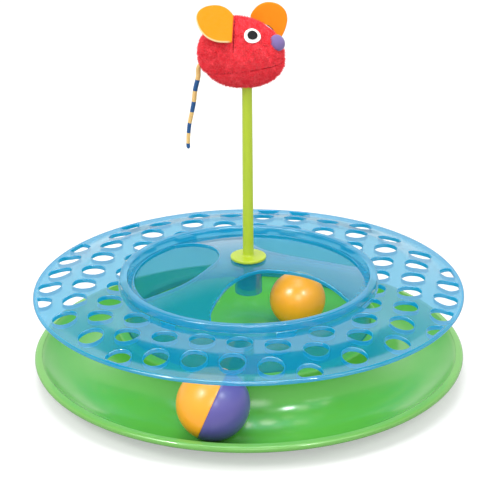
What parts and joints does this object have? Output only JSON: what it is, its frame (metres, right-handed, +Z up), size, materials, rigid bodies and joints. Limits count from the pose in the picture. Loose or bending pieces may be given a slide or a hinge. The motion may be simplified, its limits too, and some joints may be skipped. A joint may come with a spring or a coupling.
{
  "type": "cat ball track toy",
  "caption": "Round tray with a ball groove under a see-through perforated cover, a domed centre plate over an inner ball, and a stuffed mouse on an upright rod.",
  "frame": {"origin": "on the surface it stands on, under the middle of the round tray", "axes": "+Z up along the mast, -Y towards the side the picture was taken from, +X to that view's right"},
  "size_m": [0.2494, 0.2494, 0.2173],
  "materials": {
    "tray_green": "glossy",
    "foot_rubber": "matt",
    "cover_blue": "glossy see-through",
    "dome_blue": "glossy see-through",
    "mast_lime": "satin",
    "socket_white": "matt",
    "plush_red": "short pile",
    "felt_amber": "felt",
    "felt_orange": "felt",
    "felt_white": "felt",
    "felt_black": "felt",
    "felt_violet": "padded felt",
    "cord_tan": "wrapped cord",
    "ball_purple": "glossy",
    "ball_orange": "glossy",
    "bead_white": "matt"
  },
  "bodies": {
    "toy_base": {"base_tray": "tray_green", "tray_hub": "tray_green", "foot_pad_1": "foot_rubber", "foot_pad_2": "foot_rubber", "foot_pad_3": "foot_rubber", "foot_pad_4": "foot_rubber", "perforated_cover": "cover_blue", "centre_dome": "dome_blue"},
    "mast": {"mast_rod": "mast_lime"},
    "mouse": {"mouse_body": "plush_red", "mouse_socket": "socket_white", "ear_right": "felt_amber", "ear_left": "felt_orange", "eye_white_left": "felt_white", "eye_white_right": "felt_white", "eye_pupil_left": "felt_black", "eye_pupil_right": "felt_black", "nose": "felt_violet", "tail_cord": "cord_tan"},
    "lower_bead": {"lower_ball_bead": "bead_white"},
    "lower_ball": {"lower_ball_shell_a": "ball_purple", "lower_ball_shell_b": "ball_orange"},
    "upper_bead": {"upper_ball_bead": "bead_white"},
    "upper_ball": {"upper_ball_shell_a": "ball_purple", "upper_ball_shell_b": "ball_orange"}
  },
  "joints": [
    {"name": "lower_orbit", "type": "hinge", "parent": "toy_base", "child": "lower_bead", "pos_m": [0, 0, 0], "axis": [0, 0, 1], "continuous": true},
    {"name": "lower_spin", "type": "hinge", "parent": "lower_bead", "child": "lower_ball", "pos_m": [-0.01932, -0.09669, 0.0248], "axis": [-0.1959, -0.9806, 0], "continuous": true},
    {"name": "upper_orbit", "type": "hinge", "parent": "toy_base", "child": "upper_bead", "pos_m": [0, 0, 0], "axis": [0, 0, 1], "continuous": true},
    {"name": "upper_spin", "type": "hinge", "parent": "upper_bead", "child": "upper_ball", "pos_m": [0.02846, 0.00149, 0.042], "axis": [0.9986, 0.0523, 0], "continuous": true},
    {"name": "mast_lift", "type": "slide", "parent": "toy_base", "child": "mast", "axis": [0, 0, 1], "range_m": [0, 0.018]},
    {"name": "mouse_swivel", "type": "hinge", "parent": "mast", "child": "mouse", "pos_m": [0, 0, 0.18], "axis": [0, 0, 1], "continuous": true}
  ],
  "couplings": [
    {"joint": "lower_spin", "follows": "lower_orbit", "ratio": -4.9548},
    {"joint": "upper_spin", "follows": "upper_orbit", "ratio": -1.7593}
  ]
}
